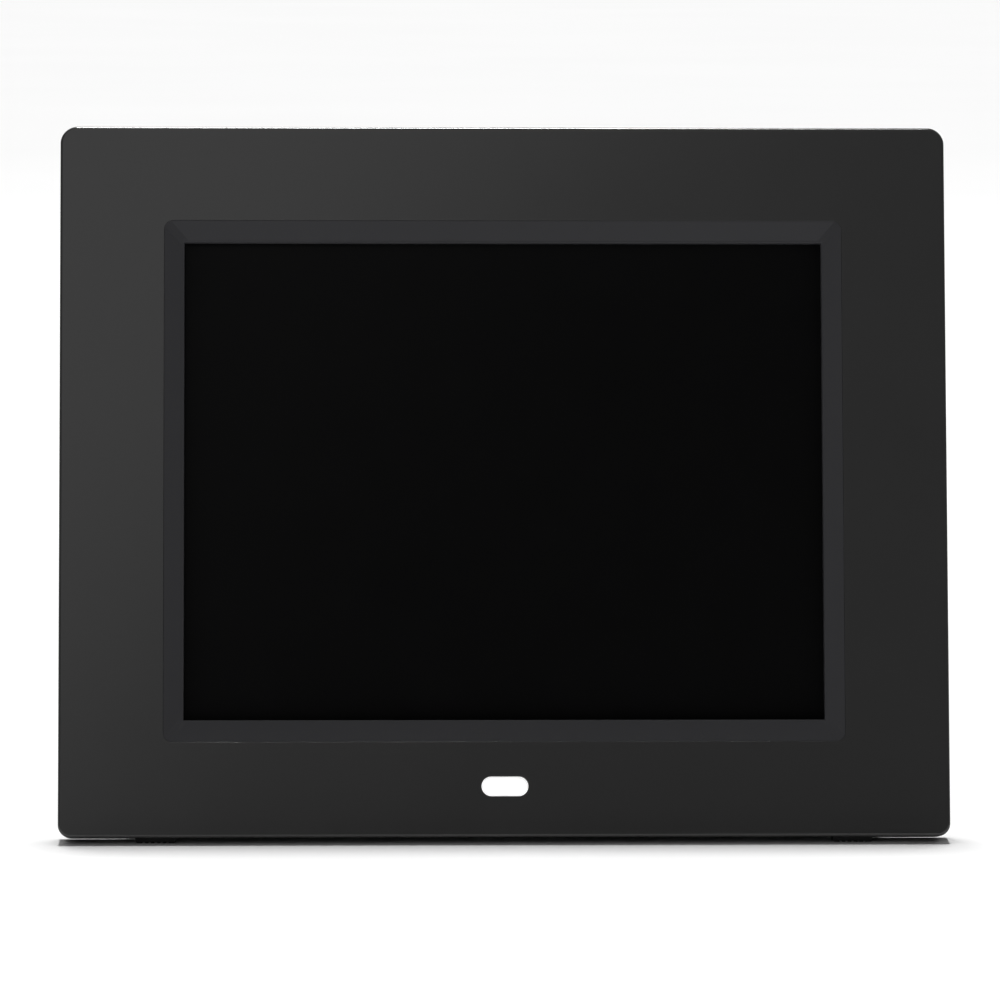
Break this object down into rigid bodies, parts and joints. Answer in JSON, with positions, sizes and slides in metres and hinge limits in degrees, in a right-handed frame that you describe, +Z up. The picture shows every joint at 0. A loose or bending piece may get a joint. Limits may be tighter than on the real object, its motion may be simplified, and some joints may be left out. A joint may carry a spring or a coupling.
{
  "type": "digital photo frame",
  "caption": "Tabletop digital photo frame: landscape screen in a wide black moulded frame, with a rear electronics housing, push buttons, side sockets and a folding stand leg.",
  "frame": {"origin": "on the surface it stands on, under the middle of the object with its stand open", "axes": "+X to the viewer's right along the frame, +Y from the screen towards the back, +Z up"},
  "size_m": [0.225, 0.0764, 0.1785],
  "materials": {
    "satin_black": "satin moulded black with a fine texture",
    "surround_black": "smooth satin black, faintly cool",
    "textured_black": "spark-eroded matt black",
    "button_black": "satin black",
    "white_lens": "opal white, smooth",
    "screen_black": "switched-off panel with an anti-glare film",
    "zinc_steel": "bright zinc plate",
    "black_screw": "black oxide",
    "white_plastic": "white moulding",
    "rubber": "matt black rubber",
    "board_green": "green solder mask",
    "moulded_black": "moulded black",
    "ferrite_grey": "dark grey ferrite",
    "ribbon_amber": "amber polyimide film",
    "lead_red": "red insulated lead",
    "speaker_grey": "dark paper cone in a moulded basket"
  },
  "bodies": {
    "housing": {"front_frame": "satin_black", "screen_surround": "surround_black", "sensor_lens": "white_lens", "rear_housing": "textured_black", "screen_glass": "screen_black", "screen_casing": "zinc_steel", "screen_clamp_top": "zinc_steel", "screen_clamp_bottom": "zinc_steel", "backlight_tray": "white_plastic", "ribbon_connector": "white_plastic", "stand_hinge_pin": "zinc_steel", "foot_left": "rubber", "foot_right": "rubber", "main_board": "board_green", "button_board": "board_green", "sensor_board": "board_green", "processor_chip": "moulded_black", "memory_chip": "moulded_black", "infrared_receiver": "moulded_black", "coin_cell_holder": "moulded_black", "power_jack": "moulded_black", "headphone_jack": "moulded_black", "power_coil": "ferrite_grey", "coin_cell": "zinc_steel", "mini_usb_socket": "zinc_steel", "usb_socket": "zinc_steel", "card_socket": "zinc_steel", "power_switch_body": "zinc_steel", "screen_ribbon": "ribbon_amber", "backlight_lead": "lead_red", "speaker_left": "speaker_grey", "speaker_right": "speaker_grey", "tact_switch_1": "moulded_black", "rear_screw_1": "black_screw", "tact_switch_2": "moulded_black", "rear_screw_2": "black_screw", "tact_switch_3": "moulded_black", "rear_screw_3": "black_screw", "tact_switch_4": "moulded_black", "rear_screw_4": "black_screw", "tact_switch_5": "moulded_black", "rear_screw_5": "black_screw", "tact_switch_6": "moulded_black", "rear_screw_6": "black_screw", "clamp_screw_1": "zinc_steel", "clamp_screw_2": "zinc_steel", "clamp_screw_3": "zinc_steel", "clamp_screw_4": "zinc_steel", "board_screw_1": "zinc_steel", "board_screw_2": "zinc_steel", "board_screw_3": "zinc_steel"},
    "stand": {"stand_leg": "textured_black", "stand_foot_pad": "rubber"},
    "power_switch": {"power_switch_knob": "button_black"},
    "button_1": {"button_1": "button_black"},
    "button_2": {"button_2": "button_black"},
    "button_3": {"button_3": "button_black"},
    "button_4": {"button_4": "button_black"},
    "button_5": {"button_5": "button_black"},
    "button_6": {"button_6": "button_black"}
  },
  "joints": [
    {"name": "stand_hinge", "type": "hinge", "parent": "housing", "child": "stand", "pos_m": [0, 0.0066, 0.11341], "axis": [1, 0, 0], "range_deg": [-26, 0]},
    {"name": "button_1_press", "type": "slide", "parent": "housing", "child": "button_1", "axis": [0, -0.9781, 0.2079], "range_m": [0, 0.0007], "stiffness_N_per_m": 1500},
    {"name": "button_2_press", "type": "slide", "parent": "housing", "child": "button_2", "axis": [0, -0.9781, 0.2079], "range_m": [0, 0.0007], "stiffness_N_per_m": 1500},
    {"name": "button_3_press", "type": "slide", "parent": "housing", "child": "button_3", "axis": [0, -0.9781, 0.2079], "range_m": [0, 0.0007], "stiffness_N_per_m": 1500},
    {"name": "button_4_press", "type": "slide", "parent": "housing", "child": "button_4", "axis": [0, -0.9781, 0.2079], "range_m": [0, 0.0007], "stiffness_N_per_m": 1500},
    {"name": "button_5_press", "type": "slide", "parent": "housing", "child": "button_5", "axis": [0, -0.9781, 0.2079], "range_m": [0, 0.0007], "stiffness_N_per_m": 1500},
    {"name": "button_6_press", "type": "slide", "parent": "housing", "child": "button_6", "axis": [0, -0.9781, 0.2079], "range_m": [0, 0.0007], "stiffness_N_per_m": 1500},
    {"name": "power_switch_slide", "type": "slide", "parent": "housing", "child": "power_switch", "axis": [0, 0.2079, 0.9781], "range_m": [0, 0.003]}
  ]
}
